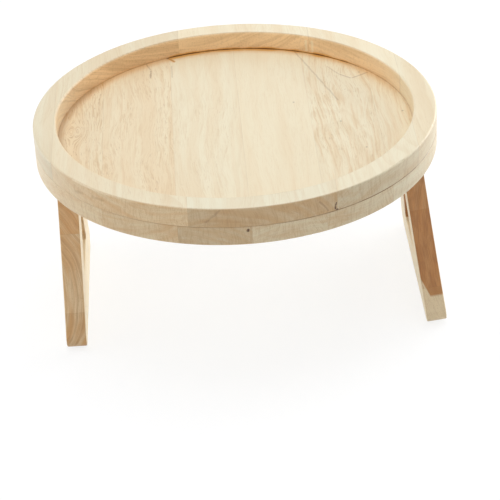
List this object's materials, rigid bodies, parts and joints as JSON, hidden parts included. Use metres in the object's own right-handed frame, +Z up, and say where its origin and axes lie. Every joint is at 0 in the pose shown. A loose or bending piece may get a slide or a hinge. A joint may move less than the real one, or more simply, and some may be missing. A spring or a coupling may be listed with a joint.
{
  "type": "sofa arm tray",
  "caption": "Round wooden tray with a raised rim that sits across a sofa's arm, held by folding wings on spring hinges, each a flared board with a tapered cut-out.",
  "frame": {"origin": "on the floor under the middle of the tray", "axes": "+Z up, X across the sofa's arm from the left wing to the right one, Y along the arm"},
  "size_m": [0.3, 0.3, 0.1542],
  "materials": {
    "rim_wood": "clear satin lacquer",
    "base_wood": "clear satin lacquer",
    "wing_wood": "clear satin lacquer",
    "foot_wood": "clear satin lacquer",
    "leaf_steel": "polished",
    "pin_steel": "turned",
    "spring_steel": "drawn wire",
    "screw_zinc": "bright zinc plate"
  },
  "bodies": {
    "tray": {"rim_left": "rim_wood", "rim_right": "rim_wood", "rim_back_left": "rim_wood", "rim_back_middle": "rim_wood", "rim_back_right": "rim_wood", "rim_front_left": "rim_wood", "rim_front_middle": "rim_wood", "rim_front_right": "rim_wood", "base_stave_1": "base_wood", "base_stave_2": "base_wood", "base_stave_3": "base_wood", "base_stave_4": "base_wood", "base_stave_5": "base_wood", "base_stave_6": "base_wood", "left_tray_leaf": "leaf_steel", "left_tray_screws": "screw_zinc", "left_hinge_pin": "pin_steel", "left_hinge_spring": "spring_steel", "right_tray_leaf": "leaf_steel", "right_tray_screws": "screw_zinc", "right_hinge_pin": "pin_steel", "right_hinge_spring": "spring_steel"},
    "left_wing": {"left_wing_foot_stave": "foot_wood", "left_wing_middle_stave": "wing_wood", "left_wing_top_stave": "wing_wood", "left_wing_leaf": "leaf_steel", "left_wing_screws": "screw_zinc"},
    "right_wing": {"right_wing_foot_stave": "foot_wood", "right_wing_middle_stave": "wing_wood", "right_wing_top_stave": "wing_wood", "right_wing_leaf": "leaf_steel", "right_wing_screws": "screw_zinc"}
  },
  "joints": [
    {"name": "left_wing_fold", "type": "hinge", "parent": "tray", "child": "left_wing", "pos_m": [-0.1224, 0, 0.122], "axis": [0, 1, 0], "range_deg": [-90.5, 11.5], "stiffness_Nm_per_rad": 0.031, "springref_deg": -90.5, "deforming": ["left_hinge_spring"]},
    {"name": "right_wing_fold", "type": "hinge", "parent": "tray", "child": "right_wing", "pos_m": [0.1224, 0, 0.122], "axis": [0, -1, 0], "range_deg": [-96.5, 5.5], "stiffness_Nm_per_rad": 0.031, "springref_deg": -96.5, "deforming": ["right_hinge_spring"]}
  ]
}
